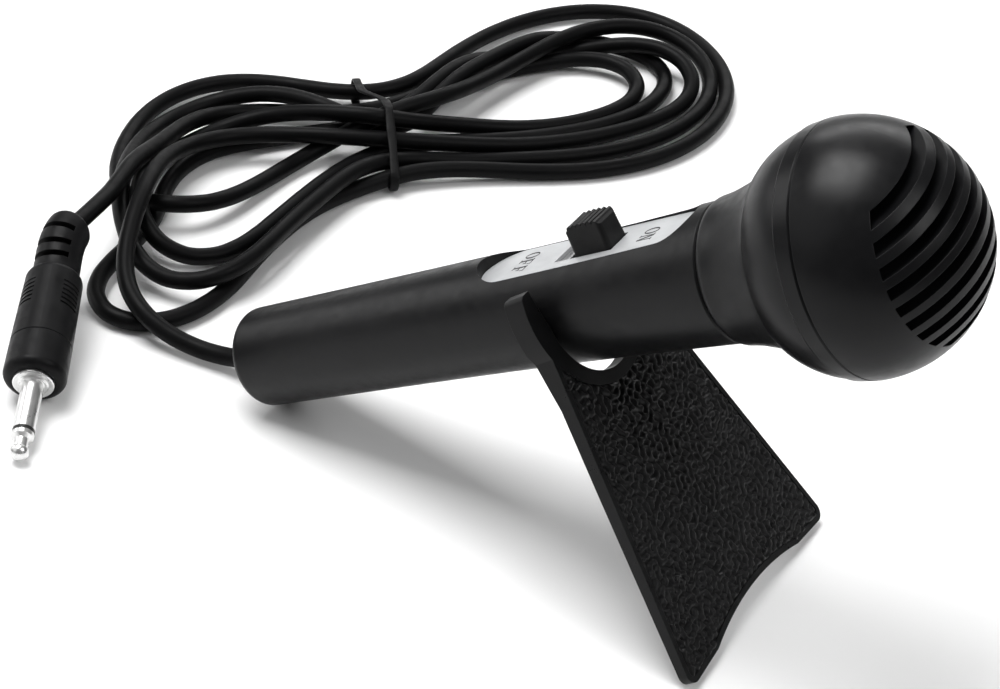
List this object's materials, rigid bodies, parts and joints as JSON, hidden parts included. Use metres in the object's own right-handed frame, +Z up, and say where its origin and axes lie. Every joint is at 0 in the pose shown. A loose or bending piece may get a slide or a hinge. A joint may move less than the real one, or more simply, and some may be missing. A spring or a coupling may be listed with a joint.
{
  "type": "karaoke microphone",
  "caption": "Small handheld microphone with a slotted round head, on/off slide switch, fold-down table stand and a coiled lead ending in a jack plug",
  "frame": {"origin": "on the table plane, at the middle of everything that lies on it: microphone, stand, coiled lead and plug", "axes": "+Z up from the table, +X level along the microphone towards its head, +Y to the left looking towards the head, where the coil lies"},
  "size_m": [0.1721, 0.1824, 0.0825],
  "materials": {
    "head_black": "moulded, glossy",
    "body_black": "fine satin moulding",
    "stand_black": "leather-grain moulding with smooth border",
    "plate_silver": "satin, lacquered",
    "print_black": "screen print",
    "knob_black": "satin with moulded ridges",
    "cable_black": "smooth soft PVC",
    "boot_black": "soft moulded PVC",
    "nickel": "nickel plated",
    "ring_black": "moulded insulator",
    "foam": "open-cell foam",
    "inner_plastic": "moulded, plain",
    "cover_plastic": "moulded, plain",
    "steel": "zinc plated",
    "ferrite": "sintered",
    "copper": "enamelled wire winding",
    "film": "thin clear film",
    "board": "phenolic board",
    "tinned": "tinned",
    "contact": "spring bronze",
    "rubber_plain": "soft moulded",
    "wire_red": "thin PVC sleeve",
    "wire_white": "thin PVC sleeve",
    "wire_black": "thin PVC sleeve",
    "tie": "soft plastic band"
  },
  "bodies": {
    "microphone": {"grille_dome": "head_black", "head_bowl": "head_black", "neck_collar": "body_black", "foam_disc": "foam", "capsule_ring": "inner_plastic", "capsule_basket": "inner_plastic", "magnet_pot": "steel", "magnet": "ferrite", "pole_piece": "steel", "capsule_cover": "cover_plastic", "capsule_board": "board", "capsule_lugs": "tinned", "handle": "body_black", "switch_plate": "plate_silver", "switch_legend": "print_black", "switch_frame": "steel", "switch_base": "board", "switch_lugs": "tinned", "switch_screws": "steel", "cable_jacket": "cable_black", "cable_stop": "rubber_plain", "wire_signal": "wire_red", "wire_mic": "wire_white", "wire_ground": "wire_black", "cable_tie": "tie", "plug_cover": "boot_black", "plug_sleeve": "nickel", "plug_insulator": "ring_black", "plug_tip": "nickel"},
    "stand_leg": {"stand": "stand_black"},
    "switch_button": {"switch_knob": "knob_black", "switch_slider": "inner_plastic", "switch_wiper": "contact"},
    "capsule_moving": {"voice_coil": "copper", "diaphragm": "film"}
  },
  "joints": [
    {"name": "stand_tilt", "type": "hinge", "parent": "microphone", "child": "stand_leg", "pos_m": [0.02859, -0.05319, 0.0393], "axis": [0, 1, 0], "range_deg": [-15, 30]},
    {"name": "switch_slide", "type": "slide", "parent": "microphone", "child": "switch_button", "axis": [0.8272, 0, 0.5619], "range_m": [-0.0033, 0]},
    {"name": "voice_coil_travel", "type": "slide", "parent": "microphone", "child": "capsule_moving", "axis": [0.8415, 0, 0.5402], "range_m": [-0.00015, 0.00015]}
  ]
}
